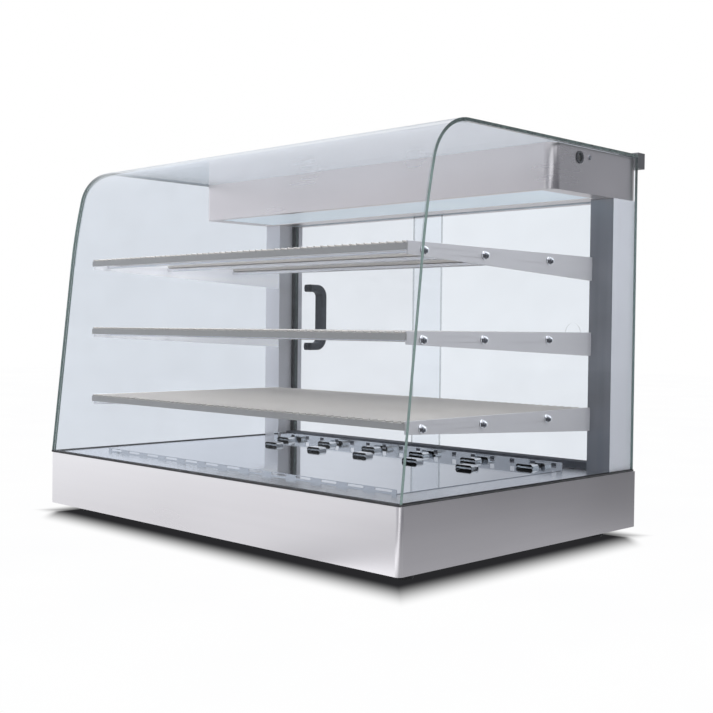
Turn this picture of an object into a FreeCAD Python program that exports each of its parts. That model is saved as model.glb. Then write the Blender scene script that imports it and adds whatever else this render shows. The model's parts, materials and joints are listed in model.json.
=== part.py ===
# Hot food display case: a heated base, a curved glass cabin, three wire racks on cantilever arms,
# a lamp housing under the roof and two sliding glass doors at the rear.
# Millimetres. X is to the right, -Y is the customer side, +Z is up. The origin is on the table,
# below the middle of the whole case.
import FreeCAD, Part
import math
import os
import re
import Sketcher

# Driving dimensions, kept in the document's spreadsheet.
SIZES = {
    # whole case
    "case_width": 900,
    "case_depth": 600,
    "rear_reach": 22,
    "foot_height": 15,
    "base_height": 96,
    "sheet_thick": 1.5,
    "corner_radius": 8,
    "play": 0.5,
    # base
    "flange_width": 24,
    "rear_flange": 68,
    "deck_margin": 14,
    "insert_margin": 64,
    "insert_rear": 34,
    "insert_thick": 1,
    "upstand_height": 14,
    "lip_height": 7,
    "vent_width": 36,
    "vent_height": 7,
    "vent_depth": 18,
    "vent_pitch": 125,
    "foot_inset": 42,
    "foot_radius": 15,
    "gasket_height": 3,
    "gasket_width": 9,
    # glass cabin
    "glass_inset": 1.5,
    "glass_thick": 5,
    "glass_rise": 540,
    "front_lean": 6.3,
    "brow_lean": 13,
    "front_radius": 1100,
    "brow_radius": 80,
    "pane_gap": 0.3,
    # rear frame
    "post_width": 45,
    "post_depth": 67,
    "post_setback": 3,
    "rail_setback": 4,
    "rail_depth": 22,
    "rail_height": 27,
    "rail_above_glass": 4,
    # lamp housing
    "housing_height": 73.5,
    "housing_depth": 239,
    "housing_radius": 18,
    "housing_inset": 2,
    "grommet_radius": 8.5,
    "diffuser_thick": 4,
    "diffuser_lip": 12,
    "lamp_radius": 5,
    "lamp_length": 720,
    # sliding doors
    "track_setback": 46,
    "track_depth": 25,
    "groove_width": 7.5,
    "lane_first": 6.5,
    "lane_pitch": 12,
    "track_base": 2.5,
    "lower_groove": 10,
    "upper_groove": 10,
    "door_overlap": 31,
    "jamb_thick": 8,
    "shoe_length": 40,
    "shoe_fit": 0.05,
    "handle_height": 144,
    "handle_pitch": 128,
    "handle_width": 24,
    "handle_thick": 16,
    "handle_low": 303,
    "handle_edge": 354,
    "handle_bend": 26,
    "handle_inner_bend": 10,
    "handle_soften": 4,
    # shelves
    "shelf_first": 110,
    "shelf_pitch": 128,
    "shelf_setback": 62,
    "arm_outer": 403,
    "arm_thick": 3,
    "arm_rear_height": 40,
    "arm_front_height": 19,
    "hook_height": 10,
    "hook_reach": 7,
    "rod_drop": 12,
    "rod_radius": 4,
    "rod_front": 33,
    "rod_middle": 173,
    "rod_rear": 341,
    "nut_radius": 6.5,
    "nut_base": 4,
    "wire_radius": 1.5,
    "wire_count": 53,
    "border_radius": 2,
    "bar_height": 10,
    "bar_thick": 2.5,
    # base internals
    "element_radius": 4,
    "element_length": 560,
    "element_spread": 90,
    "element_level": 70,
    # rear controls
    "panel_width": 330,
    "panel_height": 74,
    "shaft_radius": 3,
    "knob_radius": 19,
    "knob_depth": 17,
    "knob_place": 110,
    "switch_place": 45,
    "switch_pitch": 42,
    "rocker_width": 12,
    "rocker_height": 19,
    "rocker_radius": 9,
    "pilot_place": -38,
    "inlet_place": -105,
}

# Lengths that follow from the driving ones, as expression text.
DERIVED = {
    "half_width": "case_width / 2",
    "y_front": "-(case_depth + rear_reach) / 2",
    "y_rear": "y_front + case_depth",
    "rim": "foot_height + base_height",
    "seat": "rim + gasket_height",
    "glass_top": "seat + glass_rise",
    "glass_side": "half_width - glass_inset",
    "cabin_side": "glass_side - glass_thick",
    "frame_side": "cabin_side - play",
    # centres of the two bends of the front glass
    "front_bend_z": "brow_z + (brow_radius - front_radius) * sin(brow_lean)",
    "front_bend_y": "y_front + glass_inset"
                    " + (front_bend_z + front_radius * sin(front_lean) - seat) * tan(front_lean)"
                    " + front_radius * cos(front_lean)",
    "brow_z": "glass_top - brow_radius",
    "brow_y": "front_bend_y - (front_radius - brow_radius) * cos(brow_lean)",
    # rear frame
    "post_inner": "frame_side - post_width",
    "post_rear": "y_rear - post_setback",
    "post_front": "post_rear - post_depth",
    "rail_front": "y_rear - rail_setback",
    "rail_top": "glass_top + rail_above_glass",
    "glass_rear": "rail_front - play",
    # lamp housing
    "housing_top": "glass_top - glass_thick - play",
    "housing_low": "housing_top - housing_height",
    "housing_front": "rail_front - housing_depth",
    "housing_side": "frame_side - housing_inset",
    "lamp_level": "housing_low + 27",
    "reflector_level": "housing_low + 58",
    # doors
    "track_front": "y_rear - track_setback",
    "inner_lane": "track_front + lane_first",
    "outer_lane": "inner_lane + lane_pitch",
    "lower_track_top": "rim + track_base + lower_groove",
    "upper_track_top": "housing_low + upper_groove + track_base",
    "track_rear": "track_front + track_depth",
    "jamb_face": "post_inner - jamb_thick",
    "door_edge": "jamb_face - play",
    "door_low": "rim + track_base + 2",
    "door_high": "housing_low + upper_groove - 2",
    "handle_high": "handle_low + handle_height",
    "handle_back": "y_rear + rear_reach",
    "outer_face": "outer_lane + glass_thick / 2",
    # shelves
    "shelf_front": "y_front + shelf_setback",
    "arm_inner": "arm_outer - arm_thick",
    "rack_side": "arm_inner - 2",
    # controls
    "panel_low": "foot_height + 11",
    "panel_mid": "panel_low + panel_height / 2",
    "panel_face": "y_rear + sheet_thick",
    "element_z": "foot_height + element_level",
}

SHELVES = {"low": 0, "mid": 1, "top": 2}
ROD_PLACES = ("rod_front", "rod_middle", "rod_rear")
SIDES = {"left": -1, "right": 1}
PLANE_ROLES = {"XY": "XY_Plane", "XZ": "XZ_Plane", "YZ": "YZ_Plane"}

doc = FreeCAD.newDocument("hot_food_display_case")
sheet = doc.addObject("Spreadsheet::Sheet", "Sizes")
for row, (alias, number) in enumerate(SIZES.items(), start=1):
    sheet.set(f"A{row}", alias)
    sheet.set(f"B{row}", str(number))
    sheet.setAlias(f"B{row}", alias)
doc.recompute()

nodes = []


# ---------------------------------------------------------------- expressions

def full(text):
    """Expression text with derived lengths written out and sheet aliases led by the sheet's name."""
    def word(match):
        name = match.group(0)
        if name in DERIVED:
            return "(" + full(DERIVED[name]) + ")"
        if name in SIZES:
            return "Sizes." + name
        return name
    return re.sub(r"[A-Za-z_]+", word, str(text))


def value(text):
    """The number that an expression gives with the sheet's sizes."""
    return float(sheet.evalExpression(full(text)))


def bind(item, prop, text):
    item.setExpression(prop, full(text))


def mirrored(side, span):
    """A span of X for one side of the case; side is -1 for left and 1 for right."""
    low, high = span
    return (low, high) if side > 0 else (f"-({high})", f"-({low})")


def shelf_top(number):
    return f"rim + shelf_first + {number} * shelf_pitch"


# ---------------------------------------------------------------- Part primitives

def block(name, x_span, y_span, z_span):
    """A box between two corners."""
    item = doc.addObject("Part::Box", name)
    spans = zip(("Length", "Width", "Height"), "xyz", (x_span, y_span, z_span))
    for size, axis, (low, high) in spans:
        bind(item, size, f"({high}) - ({low})")
        bind(item, "Placement.Base." + axis, low)
    return item


def place_along(item, axis, across, start):
    """Turns an upright primitive to an axis; across holds its other two coordinates, in order."""
    direction = FreeCAD.Vector(*(float(axis == letter) for letter in "XYZ"))
    turn = FreeCAD.Rotation(FreeCAD.Vector(0, 0, 1), direction)
    item.Placement = FreeCAD.Placement(FreeCAD.Vector(0, 0, 0), turn)
    others = iter(across)
    for letter in "XYZ":
        place = start if letter == axis else next(others)
        bind(item, "Placement.Base." + letter.lower(), place)


def rod(name, axis, across, span, radius):
    """A cylinder along an axis."""
    item = doc.addObject("Part::Cylinder", name)
    low, high = span
    bind(item, "Radius", radius)
    bind(item, "Height", f"({high}) - ({low})")
    place_along(item, axis, across, low)
    return item


def cone(name, across, span, low_radius, high_radius):
    """An upright cone frustum."""
    item = doc.addObject("Part::Cone", name)
    low, high = span
    bind(item, "Radius1", low_radius)
    bind(item, "Radius2", high_radius)
    bind(item, "Height", f"({high}) - ({low})")
    place_along(item, "Z", across, low)
    return item


def fuse(name, pieces):
    item = doc.addObject("Part::MultiFuse", name)
    item.Shapes = pieces
    return item


def group(name, pieces):
    """Separate solids kept together as one sub-part."""
    item = doc.addObject("Part::Compound", name)
    item.Links = pieces
    return item


def cut(name, base, tools):
    item = doc.addObject("Part::Cut", name)
    item.Base = base
    item.Tool = tools[0] if len(tools) == 1 else group(name + "_tools", tools)
    return item


def node(item, label):
    """Marks an object as a finished sub-part."""
    item.Label = label
    nodes.append(item)
    return item


# ---------------------------------------------------------------- PartDesign

def new_body(label):
    body = doc.addObject("PartDesign::Body", label)
    nodes.append(body)
    body.Label = label
    return body


def new_sketch(body, plane, start):
    """A sketch on one of the body's own planes, moved along that plane's axis to start."""
    sketch = body.newObject("Sketcher::SketchObject", body.Name + "_sketch")
    base = [item for item in body.Origin.OriginFeatures if item.Role == PLANE_ROLES[plane]][0]
    sketch.AttachmentSupport = [(base, "")]
    sketch.MapMode = "FlatFace"
    toward = "-1" if plane == "XZ" else "1"
    bind(sketch, "AttachmentOffset.Base.z", f"{toward} * ({start})")
    return sketch


def arc_between(here, there, radius):
    """The arc from one point to another; a positive radius turns left. Also its two end numbers."""
    chord = math.dist(here, there)
    rise = math.copysign(math.sqrt(radius ** 2 - chord ** 2 / 4), radius)
    across = (-(there[1] - here[1]) / chord, (there[0] - here[0]) / chord)
    centre = [(here[i] + there[i]) / 2 + across[i] * rise for i in (0, 1)]
    first, last = (here, there) if radius > 0 else (there, here)
    start = math.atan2(first[1] - centre[1], first[0] - centre[0])
    end = math.atan2(last[1] - centre[1], last[0] - centre[0])
    circle = Part.Circle(FreeCAD.Vector(*centre, 0), FreeCAD.Vector(0, 0, 1), abs(radius))
    arc = Part.ArcOfCircle(circle, start, end)
    return (arc, 1, 2) if radius > 0 else (arc, 2, 1)


def bind_point(sketch, geometry, end, corner):
    """Fixes a point's distance from the sketch's origin, both ways, to the sheet."""
    for kind, text in zip(("DistanceX", "DistanceY"), corner):
        index = sketch.addConstraint(Sketcher.Constraint(kind, -1, 1, geometry, end, value(text)))
        bind(sketch, f"Constraints[{index}]", text)


def draw(sketch, corners, bends=None, closed=True):
    """Joins corner points by lines, or by arcs where bends gives {side number: radius}."""
    bends = bends or {}
    spots = [(value(u), value(v)) for u, v in corners]
    count = len(spots) if closed else len(spots) - 1
    sides = []
    for side in range(count):
        here, there = spots[side], spots[(side + 1) % len(spots)]
        if side in bends:
            shape, first, last = arc_between(here, there, value(bends[side]))
        else:
            shape = Part.LineSegment(FreeCAD.Vector(*here, 0), FreeCAD.Vector(*there, 0))
            first, last = 1, 2
        geometry = sketch.addGeometry(shape, False)
        sides.append((geometry, first, last))
        bind_point(sketch, geometry, first, corners[side])
        if side in bends:
            size = Sketcher.Constraint("Radius", geometry, abs(value(bends[side])))
            index = sketch.addConstraint(size)
            bind(sketch, f"Constraints[{index}]", f"abs({bends[side]})")
    for side in range(count - (0 if closed else 1)):
        geometry, _, last = sides[side]
        following, first, _ = sides[(side + 1) % count]
        sketch.addConstraint(Sketcher.Constraint("Coincident", geometry, last, following, first))
    if not closed:
        bind_point(sketch, sides[-1][0], sides[-1][2], corners[-1])


def draw_circles(sketch, centres, radius):
    for centre in centres:
        spot = FreeCAD.Vector(value(centre[0]), value(centre[1]), 0)
        circle = Part.Circle(spot, FreeCAD.Vector(0, 0, 1), value(radius))
        geometry = sketch.addGeometry(circle, False)
        bind_point(sketch, geometry, 3, centre)
        size = sketch.addConstraint(Sketcher.Constraint("Radius", geometry, value(radius)))
        bind(sketch, f"Constraints[{size}]", radius)


def rectangle(u_span, v_span):
    """The four corners of a rectangle."""
    return [(u_span[0], v_span[0]), (u_span[1], v_span[0]),
            (u_span[1], v_span[1]), (u_span[0], v_span[1])]


def extrude(body, kind, plane, span, drawing):
    """Pads or pockets whatever drawing(sketch) draws, between two places along the plane's axis."""
    low, high = span
    starts_high = (kind == "Pocket") != (plane == "XZ")
    sketch = new_sketch(body, plane, high if starts_high else low)
    drawing(sketch)
    feature = body.newObject("PartDesign::" + kind, body.Name + "_" + kind.lower())
    feature.Profile = sketch
    bind(feature, "Length", f"({high}) - ({low})")
    return feature


def pad(body, plane, span, corners, bends=None):
    return extrude(body, "Pad", plane, span, lambda sketch: draw(sketch, corners, bends))


def pocket(body, plane, span, corners, bends=None):
    return extrude(body, "Pocket", plane, span, lambda sketch: draw(sketch, corners, bends))


def pad_circles(body, plane, span, centres, radius):
    return extrude(body, "Pad", plane, span, lambda sketch: draw_circles(sketch, centres, radius))


def holes(body, plane, span, centres, radius):
    return extrude(body, "Pocket", plane, span, lambda sketch: draw_circles(sketch, centres, radius))


def repeat(body, features, count, length):
    """Repeats features along the first one's horizontal sketch axis."""
    pattern = body.newObject("PartDesign::LinearPattern", body.Name + "_pattern")
    pattern.Originals = features
    pattern.Direction = (features[0].Profile[0], ["H_Axis"])
    bind(pattern, "Occurrences", count)
    bind(pattern, "Length", length)
    body.Tip = pattern
    return pattern


def round_slot(u_centre, v_centre, half_length, half_width):
    """A slot with round ends, longer along the first axis: its corners and its two end arcs."""
    straight = f"({half_length}) - ({half_width})"
    ends = (f"({u_centre}) - ({straight})", f"({u_centre}) + ({straight})")
    sides = (f"({v_centre}) - ({half_width})", f"({v_centre}) + ({half_width})")
    # a hair over the half width keeps the arc's two ends apart from a full half circle's limit
    return rectangle(ends, sides), {1: f"({half_width}) * 1.001", 3: f"({half_width}) * 1.001"}


def front_rounded(x_half, y_low, y_high, radius):
    """A plan outline whose two front corners are rounded."""
    corners = [
        (f"-({x_half}) + ({radius})", y_low), (f"({x_half}) - ({radius})", y_low),
        (x_half, f"({y_low}) + ({radius})"), (x_half, y_high),
        (f"-({x_half})", y_high), (f"-({x_half})", f"({y_low}) + ({radius})"),
    ]
    return corners, {1: radius, 5: radius}


# ---------------------------------------------------------------- base

def foot_places():
    sides = ("-(half_width - foot_inset)", "half_width - foot_inset")
    ends = ("y_front + foot_inset + 15", "y_rear - foot_inset - 15")
    return [(x, y) for x in sides for y in ends]


def base_casing():
    body = new_body("base_casing")
    corners, bends = front_rounded("half_width", "y_front", "y_rear", "corner_radius")
    pad(body, "XY", ("foot_height", "rim"), corners, bends)
    corners, bends = front_rounded("half_width - sheet_thick", "y_front + sheet_thick",
                                   "y_rear - sheet_thick", "corner_radius - sheet_thick")
    pocket(body, "XY", ("foot_height", "rim - sheet_thick"), corners, bends)
    opening = ("-(half_width - flange_width)", "half_width - flange_width")
    pocket(body, "XY", ("rim - sheet_thick", "rim"),
           rectangle(opening, ("y_front + flange_width", "y_rear - rear_flange")))
    window = ("-(panel_width / 2 - 14)", "panel_width / 2 - 14")
    pocket(body, "XZ", ("y_rear - sheet_thick", "y_rear"),
           rectangle(window, ("panel_low + 11", "panel_low + panel_height - 11")))
    holes(body, "XZ", ("y_rear - sheet_thick", "y_rear"), panel_screw_places(), "1.6")
    holes(body, "XY", ("rim - sheet_thick", "rim"), [cable_place()], "6")


def cable_place():
    return ("post_inner + post_width / 2", "post_front + post_depth / 2")


def base_bottom_cover():
    body = new_body("base_bottom_cover")
    inset = "sheet_thick + play"
    corners, bends = front_rounded(f"half_width - ({inset})", f"y_front + {inset}",
                                   f"y_rear - ({inset})", "corner_radius - sheet_thick")
    pad(body, "XY", ("foot_height", "foot_height + sheet_thick"), corners, bends)
    holes(body, "XY", ("foot_height", "foot_height + sheet_thick"), foot_places(), "2.6")


def rubber_feet():
    feet, screws = [], []
    for place in foot_places():
        pad_shape = cone("foot_pad", place, (0, "foot_height"), "foot_radius - 2", "foot_radius")
        recess = rod("foot_recess", "Z", place, (0, "foot_height / 2"), "5.4")
        bore = rod("foot_bore", "Z", place, (0, "foot_height"), "2.6")
        feet.append(cut("foot", pad_shape, [fuse("foot_hollow", [recess, bore])]))
        head = rod("foot_screw_head", "Z", place, ("foot_height / 2 - 4", "foot_height / 2"), "5")
        shank = rod("foot_screw_shank", "Z", place, ("foot_height / 2", "foot_height + 9"), "2.5")
        screws.append(fuse("foot_screw", [head, shank]))
    node(group("feet_group", feet), "rubber_feet")
    node(group("foot_screws_group", screws), "foot_screws")


def deck_plates():
    """The satin deck, and the mirror insert on it with a slotted lip and a slotted upstand."""
    deck = new_body("deck_plate")
    side = ("-(half_width - deck_margin)", "half_width - deck_margin")
    pad(deck, "XY", ("rim", "rim + sheet_thick"),
        rectangle(side, ("y_front + deck_margin", "post_front - play")))

    insert = new_body("deck_insert")
    edge = "half_width - deck_margin - insert_margin"
    front, rear = "y_front + deck_margin + insert_margin", "post_front - insert_rear"
    low, high = "rim + sheet_thick", "rim + sheet_thick + insert_thick"
    span = (low, high)
    pad(insert, "XY", span, rectangle((f"-({edge})", edge), (front, rear)))
    pad(insert, "XZ", (f"{rear} - insert_thick", rear),
        rectangle((f"-({edge})", edge), (low, f"{low} + upstand_height")))
    tick = rectangle((f"-({edge}) + 12", f"-({edge}) + 22"), (f"{high} + 2.5", f"{high} + 11"))
    ticks = pocket(insert, "XZ", (f"{rear} - insert_thick", rear), tick)
    repeat(insert, [ticks], "17", f"2 * ({edge}) - 34")
    lip = (front, f"{front} + insert_thick")
    pad(insert, "XZ", lip, rectangle((f"-({edge})", edge), (low, f"{low} + lip_height")))
    corners, bends = round_slot(f"-({edge}) + 26", f"{low} + lip_height - 3", "17", "1.7")
    slots = pocket(insert, "XZ", lip, corners, bends)
    repeat(insert, [slots], "13", f"2 * ({edge}) - 52")
    air_vents(insert, high, f"{rear} - 28", 6)
    air_vents(insert, high, f"{rear} - 116", 5)


def air_vents(insert, level, mouth, count):
    """A row of pressed hoods whose mouths face the front, each above a hole in the insert."""
    start = f"-vent_pitch * {(count - 1) / 2}"

    def arch(inset):
        """The hood's outline from the front, moved inward, with rounded shoulders."""
        half, top = f"(vent_width / 2 - {inset})", f"({level} + vent_height - {inset})"
        bend = f"(5 - {inset})"
        corners = [
            (f"{start} - {half}", level), (f"{start} + {half}", level),
            (f"{start} + {half}", f"{top} - {bend}"), (f"{start} + {half} - {bend}", top),
            (f"{start} - {half} + {bend}", top), (f"{start} - {half}", f"{top} - {bend}"),
        ]
        return corners, {2: bend, 4: bend}
    hood = pad(insert, "XZ", (mouth, f"{mouth} + vent_depth"), *arch(0))
    inside = pocket(insert, "XZ", (mouth, f"{mouth} + vent_depth - 1"), *arch(1))
    hole = pocket(insert, "XY", (f"{level} - insert_thick", level),
                  rectangle((f"{start} - vent_width / 2 + 3", f"{start} + vent_width / 2 - 3"),
                            (f"{mouth} + 3", f"{mouth} + vent_depth - 3")))
    repeat(insert, [hood, inside, hole], str(count), f"vent_pitch * {count - 1}")


def glass_seat_gasket():
    body = new_body("glass_seat_gasket")
    outer, inner = "half_width - 1", "half_width - 1 - gasket_width"
    front = "y_front + 1"
    corners = [
        (f"-({outer})", front), (outer, front), (outer, "post_rear"), (inner, "post_rear"),
        (inner, f"{front} + gasket_width"), (f"-({inner})", f"{front} + gasket_width"),
        (f"-({inner})", "post_rear"), (f"-({outer})", "post_rear"),
    ]
    pad(body, "XY", ("rim", "seat"), corners)
    for side in SIDES.values():
        span = mirrored(side, ("post_inner", "frame_side + play"))
        pocket(body, "XY", ("rim", "seat"), rectangle(span, ("post_front - play", "post_rear + 1")))


def heating_parts():
    body = new_body("heating_element")
    path = new_sketch(body, "XY", "element_z")
    near, far = "-element_length / 2", "element_length / 2"
    corners = [(near, "-element_spread"), (far, "-element_spread"),
               (far, "element_spread"), (near, "element_spread")]
    draw(path, corners, {1: "element_spread * 1.0001"}, closed=False)
    ring = new_sketch(body, "YZ", near)
    draw_circles(ring, [("-element_spread", "element_z")], "element_radius")
    pipe = body.newObject("PartDesign::AdditivePipe", "heating_element_pipe")
    pipe.Profile = ring
    pipe.Spine = path
    body.Tip = pipe

    shield = new_body("heat_shield")
    pad(shield, "XY", ("element_z - 25", "element_z - 24"),
        rectangle(("-element_length / 2 - 60", "element_length / 2 + 120"), ("-150", "150")))

    brackets = []
    for place in ("-element_length / 4", "element_length / 3"):
        strip = block("bracket_strip", (f"{place} - 6", f"{place} + 6"), ("-130", "130"),
                      ("element_z - 24", "element_z + 9"))
        relief = block("bracket_relief", (f"{place} - 6", f"{place} + 6"), ("-75", "75"),
                       ("element_z - 22", "element_z + 9"))
        notches = [rod("bracket_notch", "X", (side, "element_z"),
                       (f"{place} - 6", f"{place} + 6"), "element_radius + 0.1")
                   for side in ("-element_spread", "element_spread")]
        brackets.append(cut("bracket", strip, [relief] + notches))
    node(group("brackets_group", brackets), "element_brackets")


def terminal_block():
    body = new_body("terminal_block")
    low = "foot_height + sheet_thick"
    pad(body, "XY", (low, f"{low} + 16"), rectangle(("-150", "-90"), ("y_rear - 130", "y_rear - 108")))
    step = pocket(body, "XY", (f"{low} + 9", f"{low} + 16"),
                  rectangle(("-148", "-142"), ("y_rear - 130", "y_rear - 108")))
    repeat(body, [step], 6, "50")


# ---------------------------------------------------------------- rear controls

def panel_screw_places():
    sides = [f"{factor} * (panel_width / 2 - 7)" for factor in (-1, 0, 1)]
    return [(x, z) for x in sides for z in ("panel_low + 5", "panel_low + panel_height - 5")]


def rear_panel():
    body = new_body("base_rear_panel")
    span = ("y_rear", "panel_face")
    pad(body, "XZ", span, rectangle(("-panel_width / 2", "panel_width / 2"),
                                    ("panel_low", "panel_low + panel_height")))
    holes(body, "XZ", span, panel_screw_places(), "1.6")
    holes(body, "XZ", span, [("knob_place", "panel_mid")], "5")
    holes(body, "XZ", span, [("pilot_place", "panel_mid")], "5.1")
    for centre in switch_places():
        pocket(body, "XZ", span, rectangle(
            (f"{centre} - rocker_width / 2 - 1.6", f"{centre} + rocker_width / 2 + 1.6"),
            ("panel_mid - rocker_height / 2 - 1.6", "panel_mid + rocker_height / 2 + 1.6")))
    pocket(body, "XZ", span, rectangle(("inlet_place - 24", "inlet_place + 24"),
                                       ("panel_mid - 14", "panel_mid + 14")))
    screws = []
    for place in panel_screw_places():
        head = rod("panel_head", "Y", place, ("panel_face", "panel_face + 1.8"), "3")
        shank = rod("panel_shank", "Y", place, ("y_rear - 8", "panel_face"), "1.5")
        screws.append(fuse("panel_screw", [head, shank]))
    node(group("panel_screws_group", screws), "panel_screws")


def switch_places():
    return ["switch_place", "switch_place - switch_pitch"]


def rocker_switch(label, centre):
    """A switch body with a bezel in front of the panel and a rocker that tips inside it."""
    body = new_body(label + "_switch_body")
    wide, tall = "rocker_width / 2", "rocker_height / 2"

    def frame(extra):
        return rectangle((f"{centre} - {wide} - {extra}", f"{centre} + {wide} + {extra}"),
                         (f"panel_mid - {tall} - {extra}", f"panel_mid + {tall} + {extra}"))
    pad(body, "XZ", ("panel_face - 22", "panel_face"), frame("1.5"))
    pad(body, "XZ", ("panel_face", "panel_face + 2"), frame("3"))
    pocket(body, "XZ", ("panel_face - 18", "panel_face + 2"), frame("0.2"))
    # the rocker is a lens-shaped slice: a flat-sided drum about its pivot, capped front and back
    span = (f"{centre} - {wide}", f"{centre} + {wide}")
    drum = rod(label + "_drum", "X", ("panel_face - 4", "panel_mid"), span, "rocker_radius")
    cap = block(label + "_cap", span, ("panel_face - 9", "panel_face + 3.4"),
                ("panel_mid - rocker_height / 2", "panel_mid + rocker_height / 2"))
    rocker = doc.addObject("Part::MultiCommon", label + "_rocker")
    rocker.Shapes = [drum, cap]
    node(rocker, label + "_rocker")


def thermostat():
    body = new_body("thermostat_body")
    pad(body, "XZ", ("y_rear - 40", "y_rear - 3"),
        rectangle(("knob_place - 20", "knob_place + 20"), ("panel_mid - 20", "panel_mid + 20")))
    pad_circles(body, "XZ", ("y_rear - 3", "y_rear - 0.2"), [("knob_place", "panel_mid")], "8")
    holes(body, "XZ", ("y_rear - 24", "y_rear"), [("knob_place", "panel_mid")], "shaft_radius + 0.05")

    shaft = new_body("thermostat_shaft")
    pad_circles(shaft, "XZ", ("y_rear - 23", "panel_face + knob_depth - 5"),
                [("knob_place", "panel_mid")], "shaft_radius")

    knob = new_body("thermostat_knob")
    back = "panel_face + 1"
    place = [("knob_place", "panel_mid")]
    pad_circles(knob, "XZ", (back, f"{back} + 4"), place, "knob_radius")
    pad_circles(knob, "XZ", (f"{back} + 4", f"{back} + knob_depth"), place, "knob_radius * 0.72")
    mark = ("knob_place - 1", "knob_place + 1")
    pocket(knob, "XZ", (f"{back} + knob_depth - 1", f"{back} + knob_depth"),
           rectangle(mark, ("panel_mid + 3", "panel_mid + 12")))
    holes(knob, "XZ", (back, "panel_face + knob_depth - 4.9"), place, "shaft_radius + 0.02")


def pilot_lamp():
    place = [("pilot_place", "panel_mid")]
    body = new_body("pilot_lamp_body")
    pad_circles(body, "XZ", ("y_rear - 22", "panel_face"), place, "5")
    pad_circles(body, "XZ", ("panel_face", "panel_face + 1.5"), place, "7")
    holes(body, "XZ", ("panel_face - 6", "panel_face + 1.5"), place, "4")
    lens = new_body("pilot_lamp_lens")
    pad_circles(lens, "XZ", ("panel_face - 5.5", "panel_face + 3.5"), place, "3.95")


def power_inlet():
    body = new_body("power_inlet")

    def frame(extra):
        return rectangle((f"inlet_place - {24 + extra}", f"inlet_place + {24 + extra}"),
                         (f"panel_mid - {14 + extra}", f"panel_mid + {14 + extra}"))
    pad(body, "XZ", ("panel_face - 24", "panel_face"), frame(-0.3))
    pad(body, "XZ", ("panel_face", "panel_face + 2.5"), frame(4))
    pocket(body, "XZ", ("panel_face - 15", "panel_face + 2.5"), frame(-4))
    for x, z in ((-9, -3), (0, 4), (9, -3)):
        blade = rectangle((f"inlet_place + {x} - 2", f"inlet_place + {x} + 2"),
                          (f"panel_mid + {z} - 1", f"panel_mid + {z} + 1"))
        pad(body, "XZ", ("panel_face - 16", "panel_face - 2"), blade)


# ---------------------------------------------------------------- glass cabin

def glass_curve(offset):
    """Corners of the front profile from the seat to the roof, moved inward by offset."""
    front = f"(front_radius - ({offset}))"
    brow = f"(brow_radius - ({offset}))"
    start_y = f"front_bend_y - {front} * cos(front_lean)"
    start_z = f"front_bend_z + {front} * sin(front_lean)"
    return [
        (f"{start_y} - ({start_z} - seat) * tan(front_lean)", "seat"),
        (start_y, start_z),
        (f"brow_y - {brow} * cos(brow_lean)", f"brow_z + {brow} * sin(brow_lean)"),
        ("brow_y", f"brow_z + {brow}"),
    ]


def front_glass():
    body = new_body("front_glass")
    outer = glass_curve("0")
    inner = glass_curve("glass_thick")
    rear = [("glass_rear", "glass_top"), ("glass_rear", "glass_top - glass_thick")]
    bends = {
        1: "-front_radius", 2: "-brow_radius",
        6: "brow_radius - glass_thick", 7: "front_radius - glass_thick",
    }
    pad(body, "YZ", ("-glass_side", "glass_side"), outer + rear + inner[::-1], bends)


def side_glasses():
    offset = "glass_thick + pane_gap"
    corners = glass_curve(offset)
    corners += [("glass_rear", f"glass_top - ({offset})"), ("glass_rear", "seat")]
    bends = {1: f"-(front_radius - ({offset}))", 2: f"-(brow_radius - ({offset}))"}
    for name, side in SIDES.items():
        body = new_body(name + "_side_glass")
        pad(body, "YZ", mirrored(side, ("cabin_side", "glass_side")), corners, bends)


# ---------------------------------------------------------------- rear frame and lamp housing

def posts():
    for name, side in SIDES.items():
        body = new_body(name + "_post")
        span = mirrored(side, ("post_inner", "frame_side"))
        hollow = mirrored(side, ("post_inner + sheet_thick", "frame_side - sheet_thick"))
        pad(body, "XY", ("rim", "housing_low"), rectangle(span, ("post_front", "post_rear")))
        pocket(body, "XY", ("rim", "housing_low"),
               rectangle(hollow, ("post_front + sheet_thick", "post_rear - sheet_thick")))
        for number in SHELVES.values():
            slot = mirrored(side, ("arm_inner - 0.2", "arm_outer + 0.2"))
            pocket(body, "XZ", ("post_front", "post_front + sheet_thick"),
                   rectangle(slot, (f"{hook_top(number)} - hook_height - 0.2", f"{hook_top(number)} + 0.2")))
        seal = new_body(name + "_jamb_seal")
        lane = JAMB_LANES[name]
        pad(seal, "XY", ("lower_track_top + play", "housing_low - play"),
            rectangle(mirrored(side, ("jamb_face", "post_inner")), (f"{lane} - 6", f"{lane} + 6")))


def lamp_housing():
    body = new_body("lamp_housing")
    corners, bends = front_rounded("housing_side", "housing_front", "rail_front", "housing_radius")
    pad(body, "XY", ("housing_low", "housing_top"), corners, bends)
    corners, bends = front_rounded("housing_side - sheet_thick", "housing_front + sheet_thick",
                                   "rail_front - sheet_thick", "housing_radius - sheet_thick")
    pocket(body, "XY", ("housing_low + sheet_thick", "housing_top - sheet_thick"), corners, bends)
    edge = "housing_side - housing_radius - diffuser_lip"
    pocket(body, "XY", ("housing_low", "housing_low + sheet_thick"),
           rectangle((f"-({edge})", edge),
                     ("housing_front + sheet_thick + diffuser_lip", "post_front - diffuser_lip")))
    pocket(body, "XY", ("housing_low", "housing_low + sheet_thick"),
           rectangle(("-post_inner", "post_inner"), ("track_front - 0.2", "track_rear + 0.2")))
    for side in SIDES.values():
        ends = mirrored(side, ("housing_side - sheet_thick", "housing_side"))
        holes(body, "YZ", ends, [grommet_place()], "grommet_radius")
        holes(body, "YZ", ends, [end_screw_place()], "2.1")
    holes(body, "XY", ("housing_low", "housing_low + sheet_thick"), [cable_place()], "6")
    holes(body, "XZ", ("rail_front - sheet_thick", "rail_front"), rail_screw_places(), "2.1")


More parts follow.
